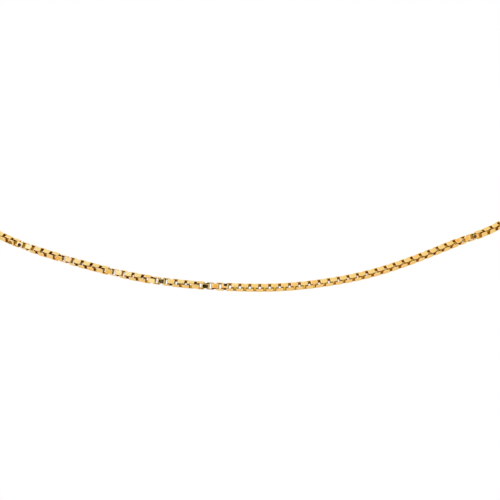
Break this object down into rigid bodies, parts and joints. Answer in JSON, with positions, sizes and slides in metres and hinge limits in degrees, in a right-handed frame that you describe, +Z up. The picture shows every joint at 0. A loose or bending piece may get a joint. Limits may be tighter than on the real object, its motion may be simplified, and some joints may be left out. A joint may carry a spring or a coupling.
{
  "type": "box chain necklace",
  "caption": "Fine gold box chain necklace in its worn form, a closed loop of interlocking square links that hangs round a neck.",
  "frame": {"origin": "middle of the neck opening, on the neck's axis", "axes": "+Z up along the neck, +X to the wearer's left, -Y to the front, where the chain hangs low, +Y to the nape, where the clasp is"},
  "size_m": [0.1408, 0.1108, 0.1014],
  "materials": {
    "gold": "polished yellow gold"
  },
  "bodies": {
    "root": {"chain_front": "gold", "chain_back": "gold", "clasp": "gold", "clasp_ring": "gold", "end_ring": "gold"}
  },
  "joints": []
}
